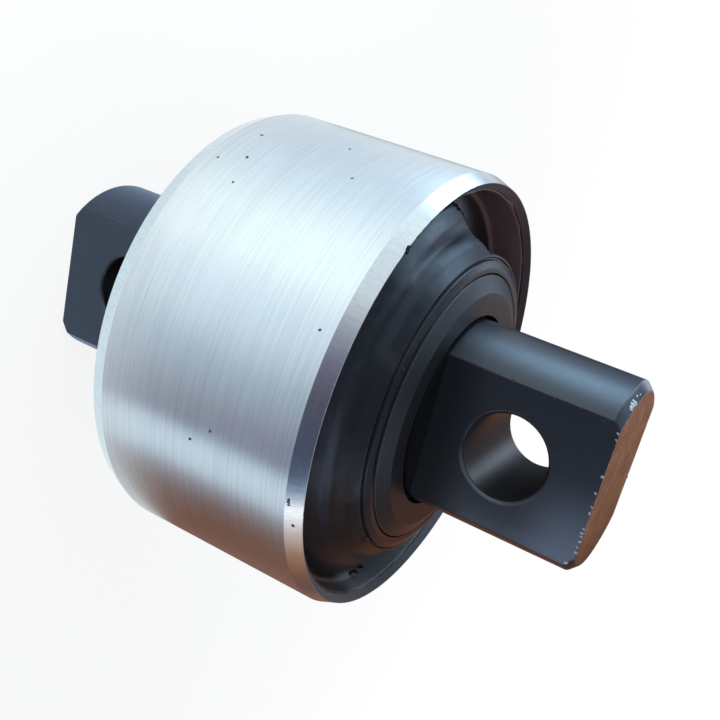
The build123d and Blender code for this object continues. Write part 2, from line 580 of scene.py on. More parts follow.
def smudge():
    """Soft ragged patch round a place, the same at both ends of the part."""
    inputs = [("Centre", VECTOR, BLACK), ("Radius", NUMBER, 3 * MM), ("Ragged", NUMBER, 1.0)]
    tree, given, out = new_group("Smudge", "ShaderNodeTree", inputs, [("Mask", NUMBER)])
    _, x, y, z = place_in(tree)
    place = vector_of(tree, x, y, abs(z))
    away = vector_maths("DISTANCE", place, given["Centre"]) / given["Radius"]
    noise = noise_on(place, 2.0 / given["Radius"])
    fill(out["Mask"], step(away + (noise - 0.5) * given["Ragged"], 1.0, 0.35))
    return tree


def group_tree(name):
    """A node group, built the first time it is used."""
    return bpy.data.node_groups.get(name) or GROUPS[name]()


def shared(tree, name, inputs=None):
    """Place a node group in a tree, and return its outputs by name."""
    kind = "ShaderNodeGroup" if tree.bl_idname == "ShaderNodeTree" else "GeometryNodeGroup"
    outputs = new_node(tree, kind, inputs, node_tree=group_tree(name)).outputs
    return {output.name: Wire(tree, output) for output in outputs}


def new_material(name):
    """Start a material on the Principled shader."""
    material = bpy.data.materials.new(name)
    material.use_nodes = True
    return material, material.node_tree, material.node_tree.nodes["Principled BSDF"]


def finish_shader(shader, height, depth, inputs):
    """Fill the shader's inputs and give it a bump of a real depth."""
    bump = add_node(height.tree, "ShaderNodeBump", {"Height": height, "Distance": depth})
    for key, value in {**inputs, "Normal": bump}.items():
        fill(shader.inputs[key], value)


# Materials


def turned_steel(settings):
    """Bright steel, ground across its lead chamfers, with a painted highlight on the lower lead chamfer,
    and black rubber left in its mouths that carries a painted brown and blue-grey reflection.
    """
    material, tree, shader = new_material("Turned steel")
    place, x, y, z = place_in(tree)
    marks = shared(tree, "Turning Marks", {"Pitch": settings.mark_pitch})
    lead = step(abs(z), STRAIGHT_END - 0.1 * MM, STRAIGHT_END + 0.1 * MM)
    ground = noise_on(vector_of(tree, x * 2200.0, y * 2200.0, z * 120.0), detail=4.0)
    height = mix_values(lead, marks["Coarse"], ground)
    cloud = noise_on(vector_of(tree, x, y, z * 2.5), 55.0, 4.0)
    tone = (height - 0.5) * 0.35 + (cloud - 0.5) * 0.12 + 0.96
    colour = mix_colours(tone, BLACK, tuple(settings.steel_colour))
    # Painted highlight: the lower lead chamfer is made lighter than the upper one, which is the same steel
    lower_lead = lead * step(z, 0.0, -1 * MM)
    colour = mix_colours(lower_lead, colour, vector_maths("MULTIPLY", colour, LOWER_LEAD_HIGHLIGHT_GAIN))
    rough = marks["Fine"] * 0.14 + lead * -0.04 + 0.17

    ragged = length_of(x, y) - noise_on(place, 900.0, 4.0) * (0.14 * MM)
    mouth = step(ragged, SLEEVE_RADIUS - 1.12 * MM, SLEEVE_RADIUS - 1.22 * MM)
    # Painted reflection on the rubber left in the mouths: brown towards -X, blue-grey towards +X
    smear_reflection = mix_colours(step(x, 5 * MM, 30 * MM), *MOUTH_REFLECTION_TONES)
    inputs = {
        "Base Color": mix_colours(mouth, colour, smear_reflection),
        "Metallic": 1.0 - mouth,
        "Roughness": mix_values(mouth, rough, 0.5),
        "Anisotropic": 0.75,
        "Tangent": vector_of(tree, 0.0, 0.0, 1.0),
    }
    finish_shader(shader, height, 0.004 * MM, inputs)
    return material


def moulded_rubber(settings):
    """Satin black rubber with a grain and a faint bloom; on the bore film painted shade, a painted brown
    reflection and a patch of painted light, painted shade in the dent's crease, and black marks at the
    pocket's ends.
    """
    material, tree, shader = new_material("Moulded rubber")
    place, x, y, _ = place_in(tree)
    radius = length_of(x, y)
    grain = shared(tree, "Surface Grain", {"Size": 0.7 * MM})
    haze = step(noise_on(place, 90.0, 5.0, 0.65), 0.48, 0.72)
    pale = tuple(channel * 2.5 + 0.004 for channel in settings.rubber_colour)
    colour = mix_colours(haze * 0.5, tuple(settings.rubber_colour), pale)

    film = step(radius, BORE_RADIUS - 1.6 * MM, BORE_RADIUS - 0.9 * MM)
    # Painted shade on the film's -Y side and painted brown reflection on its +Y side
    colour = mix_colours(film, colour, mix_colours(step(y, -9 * MM, -4 * MM), *FILM_SHADE_AND_REFLECTION))
    # Painted light: a lighter blue-grey patch on the bore film towards +X and -Y
    lit_film = step(radius, BORE_RADIUS - 5 * MM, BORE_RADIUS - 2 * MM)
    lit_film = lit_film * step(x, 15 * MM, 25 * MM) * step(y, -14 * MM, -7 * MM)
    colour = mix_colours(lit_film, colour, LIT_FILM_TONE)

    # Painted shade in the crease of the dent, made black and without gloss; the mask named torn then also
    # takes the black marks at the pocket's ends
    torn = hump(turned_from(x, y, CREASE_SHADE_MIDDLE), 0.0, CREASE_SHADE_HALF_ARC)
    torn = torn * hump(radius, CREASE_SHADE_RADIUS, CREASE_SHADE_HALF_WIDTH)
    for *where, size in BLACK_MARKS:
        centre = [part * MM for part in on_ring(*where, size)[:3]]
        mark = {"Centre": centre, "Radius": size * MM, "Ragged": 1.3}
        torn = torn | shared(tree, "Smudge", mark)["Mask"]
    inputs = {
        "Base Color": mix_colours(torn, colour, SHADE_AND_MARK_BLACK),
        "Roughness": grain["Coarse"] * 0.14 + haze * 0.10 + 0.24,
        "IOR": 1.52,
        "Specular IOR Level": mix_values(torn, 0.5, 0.06),
    }
    finish_shader(shader, grain["Fine"] * 0.35 + grain["Coarse"], 0.02 * MM, inputs)
    return material


def coated_hub(settings):
    """Turned steel hub under a thin black coat, rubbed lighter at its edges."""
    material, tree, shader = new_material("Coated hub")
    marks = shared(tree, "Turning Marks", {"Pitch": 0.5 * MM})
    grain = shared(tree, "Surface Grain", {"Size": 0.5 * MM})
    edges = {"Width": 0.45 * MM, "Amount": 0.62, "Patch": 3 * MM}
    wear = shared(tree, "Edge Wear", edges)["Wear"]
    inputs = {
        "Base Color": mix_colours(wear * 0.6, tuple(settings.coat_colour), RUBBED_COAT),
        "Metallic": wear * 0.5,
        "Roughness": grain["Coarse"] * 0.16 + 0.32,
        "IOR": 1.55,
    }
    finish_shader(shader, marks["Coarse"] * 0.8 + grain["Coarse"], 0.012 * MM, inputs)
    return material


def sawn_colour(settings, stains, x):
    """Stained colour of the bar's end faces, which turns darker towards +X."""
    gains = (0.7, 1.5, 0.35)
    dull, pale, darker = (tuple(channel * gain for channel in settings.bare_colour) for gain in gains)
    stained = mix_colours(step(stains, 0.26, 0.82), dull, pale)
    return mix_colours(step(x, 6 * MM, 17 * MM) * 0.7, stained, darker)


def painted_bar(settings):
    """Black paint over a milled bar, bare and tarnished on its sawn end faces, with painted shade near the
    hub and in the bolt holes, a painted highlight on the holes' chamfers and a painted reflection on the
    flats near the upper end.
    """
    material, tree, shader = new_material("Painted bar")
    place, x, y, z = place_in(tree)
    up, aside = abs(z), abs(y)
    grain = shared(tree, "Surface Grain", {"Size": 1.1 * MM})
    edges = {"Width": 0.4 * MM, "Amount": 0.42, "Patch": 1.6 * MM}
    wear = shared(tree, "Edge Wear", edges)["Wear"] * step(up, HUB_END + 2 * MM, HUB_END + 6 * MM)

    ragged = up + noise_on(place, 1500.0, 4.0) * (0.35 * MM)
    bare = step(ragged, BAR_END + 0.04 * MM, BAR_END + 0.12 * MM)
    uncovered = bare | wear
    stains = noise_on(place, 330.0, 6.0, 0.68)
    steel = mix_colours(bare, WORN_STEEL, sawn_colour(settings, stains, x))

    across = length_of(x, up - HOLE_HEIGHT)
    in_hole = step(across, HOLE_RADIUS + 0.35 * MM, HOLE_RADIUS + 0.1 * MM)
    rings = noise_on(vector_of(tree, x * 40.0, y * 2400.0, z), detail=2.0)
    # Painted shade: the paint in the bolt holes is mixed half with a flatter, darker black
    paint = mix_colours(in_hole * 0.5, tuple(settings.paint_colour), HOLE_SHADE_TONE)
    dust = step(noise_on(place, 700.0, 5.0, 0.7), 0.62, 0.78)
    paint = mix_colours(dust * 0.25, paint, PALE_DUST)
    colour = mix_colours(uncovered, paint, steel)

    on_flat = step(aside, FLAT_SIDE + 0.2 * MM, FLAT_SIDE + 0.05 * MM)
    on_flat = on_flat * step(aside, FLAT_SIDE - 0.3 * MM, FLAT_SIDE - 0.1 * MM)
    # Painted shade: the flats darker near the hub, black at the bar's root in the hub, and part of each
    # bolt hole's wall black towards +X; it also takes away gloss
    painted_shade = step(up, HUB_END + 13 * MM, HUB_END + 2 * MM) * on_flat * 0.75
    painted_shade = painted_shade | step(up, HUB_END + 0.45 * MM, HUB_END + 0.2 * MM)
    chamfer = step(aside, FLAT_SIDE - 0.6 * MM, FLAT_SIDE - 0.4 * MM)
    shaded = step(up, HOLE_HEIGHT - 5 * MM, HOLE_HEIGHT - 1 * MM) * in_hole
    shaded = shaded * step(x, 0.0, 3 * MM) * (1.0 - chamfer)
    painted_shade = painted_shade | shaded * 0.6
    colour = mix_colours(painted_shade, colour, SHADE_BLACK)
    # Painted highlight, not wear: the bolt holes' chamfers lighter towards +X
    rubbed = step(across, HOLE_RADIUS + 0.7 * MM, HOLE_RADIUS + 0.5 * MM)
    colour = mix_colours(rubbed * chamfer * step(x, 0.0, 6 * MM), colour, CHAMFER_HIGHLIGHT_TONE)
    # Painted reflection: a blue-grey patch on the flats near the upper end, towards +X
    flat_reflection = step(z, BAR_END - 14 * MM, BAR_END - 3 * MM) * step(x, -3 * MM, 13 * MM)
    colour = mix_colours(flat_reflection * on_flat, colour, FLAT_REFLECTION_TONE)

    rough = mix_values(uncovered, grain["Coarse"] * 0.12 + 0.27, 0.42)
    surface = mix_values(in_hole, grain["Fine"] * 0.25 + grain["Coarse"], rings * 2.0)
    inputs = {
        "Base Color": colour,
        "Metallic": uncovered * 0.6,
        "Roughness": mix_values(painted_shade, rough, 0.8),
        "Specular IOR Level": mix_values(painted_shade, 0.5, 0.1),
        "IOR": 1.6,
    }
    finish_shader(shader, mix_values(bare, surface, stains), 0.018 * MM, inputs)
    return material


def plain_finish(name, colour, roughness, metallic=0.0):
    """Small crumbs, specks and chips: one colour broken up by noise."""
    material, tree, shader = new_material(name)
    grain = shared(tree, "Surface Grain", {"Size": 0.25 * MM})
    dark = tuple(channel * 0.5 for channel in colour)
    tint = mix_colours(grain["Coarse"], dark, colour)
    inputs = {"Base Color": tint, "Metallic": metallic, "Roughness": roughness}
    finish_shader(shader, grain["Fine"], 0.02 * MM, inputs)
    return material


# Geometry Nodes


def new_shape(name, inputs):
    """Start a group that makes a piece in its material."""
    inputs = [*inputs, ("Material", MATERIAL, None)]
    return new_group(name, "GeometryNodeTree", inputs, [("Piece", GEOMETRY)])


def end_shape(geometry, given, out):
    """Make everything real, give it its material and put it out."""
    real = shape_node(geometry.tree, "RealizeInstances", {"Geometry": geometry})
    inputs = {"Geometry": real, "Material": given["Material"]}
    fill(out["Piece"], shape_node(geometry.tree, "SetMaterial", inputs))
    return geometry.tree


def along_normal(geometry, lift):
    """Move a surface along its own normal."""
    offset = scaled(lift, shape_node(lift.tree, "InputNormal"))
    return shape_node(lift.tree, "SetPosition", {"Geometry": geometry, "Offset": offset})


def swept_ring(tree, segments, radius, profile):
    """Surface that a closed profile leaves on its way round a circle."""
    rail = shape_node(tree, "CurvePrimitiveCircle", {"Resolution": segments, "Radius": radius})
    return shape_node(tree, "CurveToMesh", {"Curve": rail, "Profile Curve": profile})


def turned_piece():
    """Turn a closed section round Z, with rounded edges."""
    inputs = [
        ("Section", GEOMETRY, None),
        ("Segments", WHOLE, 360),
        ("Edge Radius", NUMBER, 0.15 * MM),
    ]
    tree, given, out = new_shape("Turned Piece", inputs)
    outline = shape_node(tree, "MeshToCurve", {"Mesh": given["Section"]})
    radius = attribute(tree, "corner", "FLOAT") * given["Edge Radius"]
    rounding = {"Curve": outline, "Count": 3, "Radius": radius, "Limit Radius": True}
    rounded = shape_node(tree, "FilletCurve", rounding, mode="POLY")
    laid = {"Geometry": rounded, "Translation": (-SLEEVE_RADIUS, 0, 0), "Rotation": (pi / 2, 0, 0)}
    skin = swept_ring(tree, given["Segments"], SLEEVE_RADIUS, shape_node(tree, "Transform", laid))
    joined = shape_node(tree, "MergeByDistance", {"Geometry": skin, "Distance": 2 * WELD})
    return end_shape(shape_node(tree, "SetShadeSmooth", {"Geometry": joined}), given, out)


def moulded_ring():
    """Turned rubber that changes to its pocketed section on one side, with a dent, a bulge and lumps."""
    inputs = [
        ("Section", GEOMETRY, None),
        ("Segments", WHOLE, 340),
        ("Edge Radius", NUMBER, 0.12 * MM),
        ("Torn Edge", NUMBER, 1.4),
        ("Fold Depth", NUMBER, 0.7 * MM),
        ("Lump Height", NUMBER, 0.15 * MM),
        ("Lump Size", NUMBER, 11 * MM),
        ("Calm Inside", NUMBER, 29 * MM),
        ("Calm Outside", NUMBER, 39.6 * MM),
    ]
    tree, given, out = new_shape("Moulded Ring", inputs)
    inputs = {name: given[name] for name in ("Section", "Segments", "Edge Radius")}
    turned = shared(tree, "Turned Piece", inputs)["Piece"]
    place, x, y, _ = place_in(tree)
    radius = length_of(x, y)

    twist = (radius - POCKET_RADIUS) * (-POCKET_TWIST / MM)
    tear = (noise_on(place, 450.0) - 0.5) * given["Torn Edge"]
    from_middle = abs(turned_from(x, y, POCKET_MIDDLE) + twist) + tear
    in_pocket = step(from_middle, POCKET_HALF_ARC + 0.5, POCKET_HALF_ARC - 0.5)
    shift = split(attribute(tree, "pocket_shift", "FLOAT_VECTOR"))
    outwards = scaled(shift[0], vector_maths("NORMALIZE", vector_of(tree, x, y, 0.0)))
    shift = vector_maths("ADD", outwards, vector_of(tree, 0.0, 0.0, shift[2]))
    moved = {"Geometry": turned, "Offset": scaled(in_pocket, shift)}
    pocketed = shape_node(tree, "SetPosition", moved)

    inside, outside = given["Calm Inside"], given["Calm Outside"]
    wild = step(radius, inside, inside + CALM_EDGE) * step(radius, outside, outside - CALM_EDGE)
    bulge = hump(radius, BULGE_RADIUS, BULGE_HALF_WIDTH)
    dent = hump(radius, DENT_RADIUS, DENT_HALF_WIDTH) * DENT_SHARE
    near_fold = hump(turned_from(x, y, FOLD_MIDDLE), 0.0, FOLD_HALF_ARC)
    fold = (bulge - dent) * given["Fold Depth"] * mix_values(near_fold, FOLD_ELSEWHERE, 1.0)
    lumps = noise_on(place, 1.0 / given["Lump Size"], 2.0, 0.45) - 0.5
    lift = (lumps * given["Lump Height"] * 4.0 + fold * (1.0 - in_pocket)) * wild
    return end_shape(along_normal(pocketed, lift), given, out)


def ragged_flash():
    """Thin skin of rubber round a bore, whose free edge is torn to an uneven height."""
    inputs = [
        ("Blank", GEOMETRY, None),
        ("Segments", WHOLE, 720),
        ("Radius", NUMBER, 40 * MM),
        ("Foot Height", NUMBER, 20 * MM),
        ("Tallest", NUMBER, 1.0 * MM),
        ("Thickness", NUMBER, 0.25 * MM),
        ("Side", NUMBER, 1.0),
    ]
    tree, given, out = new_shape("Ragged Flash", inputs)
    flat = {"Width": given["Thickness"], "Height": 2.0}
    profile = shape_node(tree, "CurvePrimitiveQuadrilateral", flat)
    skin = swept_ring(tree, given["Segments"], given["Radius"], profile)
    _, x, y, z = place_in(tree)
    foot = given["Foot Height"]
    around = vector_of(tree, x, y, foot)
    torn = step(noise_on(around, 90.0, 2.0), 0.42, 0.78)
    share = torn * 0.75 + noise_on(around, 900.0, 4.0, 0.7) * 0.3
    upper = maths(tree, "GREATER_THAN", z, 0.0)
    height = mix_values(upper, -0.3 * MM, share * given["Tallest"])
    placed = vector_of(tree, x, y, (foot + height) * given["Side"])
    moved = shape_node(tree, "SetPosition", {"Geometry": skin, "Position": placed})
    return end_shape(moved, given, out)


def blobs_on_surface():
    """A small ragged blob at each given point, pressed flat against the nearest surface."""
    inputs = [
        ("Places", GEOMETRY, None),
        ("Surface", OBJECT, None),
        ("Flatness", NUMBER, 0.4),
        ("Stretch", NUMBER, 1.5),
        ("Ragged", NUMBER, 0.5),
        ("Seed", WHOLE, 0),
    ]
    tree, given, out = new_shape("Blobs On Surface", inputs)
    surface = shape_node(tree, "ObjectInfo", {"Object": given["Surface"]}, output="Geometry")
    place = place_in(tree)[0]
    normal = shape_node(tree, "InputNormal")
    searches = [{"Mesh": surface, "Value": wanted} for wanted in (place, normal)]
    nearest_place, nearest_normal = (
        shape_node(tree, "SampleNearestSurface", search, data_type="FLOAT_VECTOR") for search in searches
    )
    points = shape_node(tree, "MeshToPoints", {"Mesh": given["Places"]})
    seated = shape_node(tree, "SetPosition", {"Geometry": points, "Position": nearest_place})
    limits = {"Seed": given["Seed"], 3: 2 * pi}
    spin = add_node(tree, "FunctionNodeRandomValue", limits, output=1, data_type="FLOAT")
    turn = add_node(tree, "FunctionNodeEulerToRotation", {0: vector_of(tree, 0.0, 0.0, spin)})
    facing = {"Rotation": turn, "Vector": nearest_normal}
    upright = add_node(tree, "FunctionNodeAlignRotationToVector", facing, axis="Z")
    size = attribute(tree, "size", "FLOAT")
    shape = vector_of(tree, size * given["Stretch"], size, size * given["Flatness"])
    ball = shape_node(tree, "MeshIcoSphere", {"Radius": 1.0, "Subdivisions": 3})
    copies = {"Points": seated, "Instance": ball, "Rotation": upright, "Scale": shape}
    blobs = shape_node(tree, "InstanceOnPoints", copies)
    real = shape_node(tree, "RealizeInstances", {"Geometry": blobs})
    lift = (noise_on(place, 1.2 / size, 2.0) - 0.5) * size * given["Ragged"]
    smooth = shape_node(tree, "SetShadeSmooth", {"Geometry": along_normal(real, lift)})
    return end_shape(smooth, given, out)


GROUPS = {
    "Turning Marks": turning_marks,
    "Surface Grain": surface_grain,
    "Edge Wear": edge_wear,
    "Smudge": smudge,
    "Turned Piece": turned_piece,
    "Moulded Ring": moulded_ring,
    "Ragged Flash": ragged_flash,
    "Blobs On Surface": blobs_on_surface,
}


# Pieces


def new_object(name, mesh):
    """Put a mesh into the scene at the origin."""
    made = bpy.data.objects.new(name, mesh)
    bpy.context.scene.collection.objects.link(made)
    return made


def plain_mesh(name, maker):
    """Turn an object and its modifiers into a plain mesh object, and delete the first."""
    graph = bpy.context.evaluated_depsgraph_get()
    mesh = bpy.data.meshes.new_from_object(maker.evaluated_get(graph), depsgraph=graph)
    mesh.name = name
    bpy.data.objects.remove(maker)
    return new_object(name, mesh)


def grown(name, base, group, inputs, even_normals=False):
    """Run a Geometry Nodes group on a mesh and return the plain piece."""
    maker = new_object(f"{name}_maker", base)
    nodes = maker.modifiers.new(group, "NODES")
    nodes.node_group = group_tree(group)
    for item in nodes.node_group.interface.items_tree:
        if item.in_out == "INPUT" and item.name in inputs:
            nodes[item.identifier] = inputs[item.name]
    if even_normals:
        maker.modifiers.new("Even normals", "WEIGHTED_NORMAL")
    piece = plain_mesh(name, maker)
    face_outwards(piece.data)
    return piece


def face_outwards(closed_mesh):
    """Turn the faces of a closed mesh outwards if they point into it."""
    check = bmesh.new()
    check.from_mesh(closed_mesh)
    inside_out = check.calc_volume(signed=True) < 0
    check.free()
    if inside_out:
        closed_mesh.flip_normals()


def keep(piece, slot, *nodes):
    """Fix a finished piece to the part, in place of its CAD nodes, which it hides; the slot is not used.
    """
    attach(piece, BODY)
    if nodes:
        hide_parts(*nodes)


def section_of(node, azimuth=0.0):
    """Closed section of a turned node at an azimuth, as radius and height all the way round."""
    source = bmesh.new()
    source.from_mesh(frame["nodes"][node].data)
    bmesh.ops.remove_doubles(source, verts=source.verts, dist=WELD)
    bmesh.ops.rotate(source, matrix=Matrix.Rotation(-radians(azimuth), 3, "Z"), verts=source.verts)
    parts = [*source.verts, *source.edges, *source.faces]
    cut = bmesh.ops.bisect_plane(source, geom=parts, dist=WELD, plane_co=(0, 0, 0), plane_no=(0, 1, 0))
    links = {v: [] for v in cut["geom_cut"] if isinstance(v, bmesh.types.BMVert) and v.co.x > 0}
    for edge in cut["geom_cut"]:
        if isinstance(edge, bmesh.types.BMEdge) and edge.verts[0] in links:
            for vertex in edge.verts:
                links[vertex].append(edge.other_vert(vertex))
    first = min(links, key=lambda v: (round(v.co.x / WELD), v.co.z))
    loop = [first, min(links[first], key=lambda v: v.co.x)]
    while len(loop) < len(links):
        loop.append(next(v for v in links[loop[-1]] if v is not loop[-2]))
    stops = [Vector((v.co.x, v.co.z)) for v in loop]
    source.free()
    return [stop for stop, bend in zip(stops, bends(stops)) if bend > LEAST_BEND]


def bends(stops):
    """Angle by which a closed outline bends at each of its points."""
    around_again = zip(stops[-1:] + stops, stops, stops[1:] + stops[:1])
    return [(here - before).angle(after - here) for before, here, after in around_again]


def stretches(stops):
    """Paths along a closed outline from each of its corners to the next one."""
    corners = [number for number, bend in enumerate(bends(stops)) if bend > SHARPEST_CURVE]
    closed = stops + stops[:1]
    return [closed[here : there + 1] for here, there in zip(corners, corners[1:] + [len(stops)])]


def length_along(path):
    """Length of an open path."""
    return sum((end - start).length for start, end in zip(path, path[1:]))


def spread(path, count, crowding=1.0):
    """Points along an open path without its last one, crowded towards its inner end."""
    shares = [(number / count) ** crowding for number in range(count)]
    if path[0].x > path[-1].x:
        shares = [1 - (1 - number / count) ** crowding for number in range(count)]
    total = length_along(path)
    points = []
    piece, passed = 0, 0.0
    for share in shares:
        while passed + (path[piece + 1] - path[piece]).length < share * total:
            passed += (path[piece + 1] - path[piece]).length
            piece += 1
        reach = (path[piece + 1] - path[piece]).length
        points.append(path[piece].lerp(path[piece + 1], (share * total - passed) / reach))
    return points


def outline(stops, longest, changed=None):
    """Cut up a closed outline: its points, its corners and the way to a changed outline."""
    points, corners, shifts = [], [], []
    for path, far_path in zip(stretches(stops), stretches(changed or stops), strict=True):
        if len(path) == 2:
            near = far = spread(path, max(1, round(length_along(path) / longest)))
        else:
            count = round(max(length_along(path), length_along(far_path)) / CHANGING_STEP)
            near, far = (spread(way, count, CROWDING) for way in (path, far_path))
        points += near
        corners += [1.0] + [0.0] * (len(near) - 1)
        shifts += [end - start for start, end in zip(near, far)]
    return points, corners, shifts


def section_mesh(name, points, corners, shifts):
    """Closed outline at azimuth 0, which knows its corners and its way to the changed outline."""
    mesh = bpy.data.meshes.new(name)
    edges = [(i, (i + 1) % len(points)) for i in range(len(points))]
    mesh.from_pydata([(point.x, 0.0, point.y) for point in points], edges, [])
    mesh.attributes.new("corner", "FLOAT", "POINT").data.foreach_set("value", corners)
    ways = [part for shift in shifts for part in (shift.x, 0.0, shift.y)]
    mesh.attributes.new("pocket_shift", "FLOAT_VECTOR", "POINT").data.foreach_set("vector", ways)
    return mesh


def on_ring(azimuth, radius, height, size):
    """Place on a turned surface, from its azimuth in degrees, radius and height."""
    angle = radians(azimuth)
    return (radius * cos(angle), radius * sin(angle), height, size)


def stick_blobs(name, places, surface, slot, inputs):
    """Stick a blob at each place on a CAD node, given as X, Y, Z and size in millimetres."""
    mesh = bpy.data.meshes.new(f"{name}_places")
    mesh.from_pydata([[part * MM for part in place[:3]] for place in places], [], [])
    sizes = mesh.attributes.new("size", "FLOAT", "POINT")
    sizes.data.foreach_set("value", [place[3] * MM for place in places])
    inputs = {**inputs, "Surface": frame["nodes"][surface]}
    keep(grown(name, mesh, "Blobs On Surface", inputs), slot)


class BUSH_OT_outer_sleeve(bpy.types.Operator):
    """Turn the bright steel sleeve, with broken edges and fine tool marks"""

    bl_idname = "bush.outer_sleeve"
    bl_label = "Outer Sleeve"

    def execute(self, context):
        settings = context.scene.bush_sleeve
        section = section_mesh("sleeve_section", *outline(section_of("outer_sleeve"), 4 * MM))
        inputs = {"Edge Radius": settings.edge_break, "Material": turned_steel(settings)}
        piece = grown("turned_outer_sleeve", section, "Turned Piece", inputs, even_normals=True)
        keep(piece, "turned_steel", "outer_sleeve")
        return {"FINISHED"}


class BUSH_OT_sleeve_specks(bpy.types.Operator):
    """Stick the small dark specks on the sleeve that handling left there"""

    bl_idname = "bush.sleeve_specks"
    bl_label = "Sleeve Specks"

    def execute(self, context):
        places = [on_ring(azimuth, SLEEVE_RADIUS / MM, *rest) for azimuth, *rest in SPECKS]
        grit = plain_finish("Dark grit", (0.05, 0.05, 0.055), 0.6)
        inputs = {"Flatness": 0.18, "Stretch": 1.4, "Seed": 3, "Material": grit}
        stick_blobs("sleeve_specks", places, "outer_sleeve", "turned_steel", inputs)
        return {"FINISHED"}


class BUSH_OT_rubber_body(bpy.types.Operator):
    """Mould the rubber from its section, with soft edges and a slightly uneven skin"""

    bl_idname = "bush.rubber_body"
    bl_label = "Rubber Body"

    def execute(self, context):
        settings = context.scene.bush_rubber
        sides = (SHOULDER_MIDDLE, POCKET_MIDDLE)
        shouldered, pocketed = (section_of("rubber_body", side) for side in sides)
        inputs = {
            "Edge Radius": settings.edge_round,
            "Fold Depth": settings.fold_depth,
            "Lump Height": settings.lump_height,
            "Lump Size": settings.lump_size,
            "Calm Inside": HUB_RADIUS + 2.8 * MM,
            "Calm Outside": BORE_RADIUS - 0.4 * MM,
            "Material": moulded_rubber(settings),
        }
        section = section_mesh("rubber_section", *outline(shouldered, 2 * MM, pocketed))
        piece = grown("moulded_rubber_body", section, "Moulded Ring", inputs, even_normals=True)
        keep(piece, "moulded_rubber", "rubber_body")
        return {"FINISHED"}


class BUSH_OT_rubber_flash(bpy.types.Operator):
    """Leave the ragged skin of rubber round both mouths of the sleeve"""

    bl_idname = "bush.rubber_flash"
    bl_label = "Rubber Flash"

    def execute(self, context):
        settings = context.scene.bush_rubber
        for name, side in (("upper", 1.0), ("lower", -1.0)):
            inputs = {
                "Radius": BORE_RADIUS - settings.flash_thickness / 2 + 0.02 * MM,
                "Foot Height": SLEEVE_END - 1.6 * MM,
                "Tallest": settings.flash_height,
                "Thickness": settings.flash_thickness,
                "Side": side,
                "Material": bpy.data.materials["Moulded rubber"],
            }
            blank = bpy.data.meshes.new("flash_blank")
            keep(grown(f"rubber_flash_{name}", blank, "Ragged Flash", inputs), "moulded_rubber")
        return {"FINISHED"}


class BUSH_OT_rubber_crumbs(bpy.types.Operator):
    """Add the torn crumbs of rubber at the sleeve's mouth and the nibs of the mould"""

    bl_idname = "bush.rubber_crumbs"
    bl_label = "Rubber Crumbs and Nibs"

    def execute(self, context):
        torn = plain_finish("Torn rubber", (0.003, 0.003, 0.004), 0.75)
        moulded = bpy.data.materials["Moulded rubber"]
        for name, places, surface, flatness, ragged, material in (
            ("rubber_crumbs", CRUMBS, "outer_sleeve", 0.4, 0.8, torn),
            ("rubber_nibs", NIBS, "rubber_body", 0.6, 0.3, moulded),
        ):
            upper = [on_ring(*place) for place in places]
            lower = [
                on_ring(azimuth + LOWER_END_TURN, radius, -height, size)
                for azimuth, radius, height, size in places
            ]
            looks = {"Flatness": flatness, "Stretch": 1.5, "Ragged": ragged, "Seed": 5}
            inputs = {**looks, "Material": material}
            stick_blobs(name, upper + lower, surface, "moulded_rubber", inputs)
        return {"FINISHED"}


class BUSH_OT_hub(bpy.types.Operator):
    """Turn the hub, coat it black and rub its edges"""

    bl_idname = "bush.hub"
    bl_label = "Hub"

    def execute(self, context):
        settings = context.scene.bush_hub
        section = section_mesh("hub_section", *outline(section_of("hub"), 4 * MM))
        inputs = {"Segments": 240, "Edge Radius": settings.edge_break, "Material": coated_hub(settings)}
        piece = grown("coated_hub_tube", section, "Turned Piece", inputs, even_normals=True)
        keep(piece, "coated_hub", "hub")
        return {"FINISHED"}


class BUSH_OT_cross_bar(bpy.types.Operator):
    """Break the bar's milled edges and paint it, with its end faces left bare"""

    bl_idname = "bush.cross_bar"
    bl_label = "Cross Bar"

    def execute(self, context):
        settings = context.scene.bush_bar
        copy = bmesh.new()
        copy.from_mesh(frame["nodes"]["cross_bar"].data)
        bmesh.ops.remove_doubles(copy, verts=copy.verts, dist=WELD)
        bmesh.ops.dissolve_limit(copy, angle_limit=FLAT_ENOUGH, verts=copy.verts, edges=copy.edges)
        broken = copy.edges.layers.float.new("bevel_weight_edge")
        for edge in copy.edges:
            if edge.calc_face_angle() > MILLED_EDGE:
                edge[broken] = float(edge.is_convex)
                edge.smooth = edge.is_convex
        mesh = bpy.data.meshes.new("bar_copy")
        copy.to_mesh(mesh)
        copy.free()
        for polygon in mesh.polygons:
            polygon.use_smooth = True
        maker = new_object("bar_maker", mesh)
        bevel = maker.modifiers.new("Edge break", "BEVEL")
        bevel.width = settings.edge_break
        bevel.segments = 2
        bevel.limit_method = "WEIGHT"
        bevel.miter_outer = "MITER_ARC"
        maker.modifiers.new("Even normals", "WEIGHTED_NORMAL").keep_sharp = True
        piece = plain_mesh("painted_cross_bar", maker)
        piece.data.materials.clear()
        piece.data.materials.append(painted_bar(settings))
        keep(piece, "painted_bar", "cross_bar")
        return {"FINISHED"}


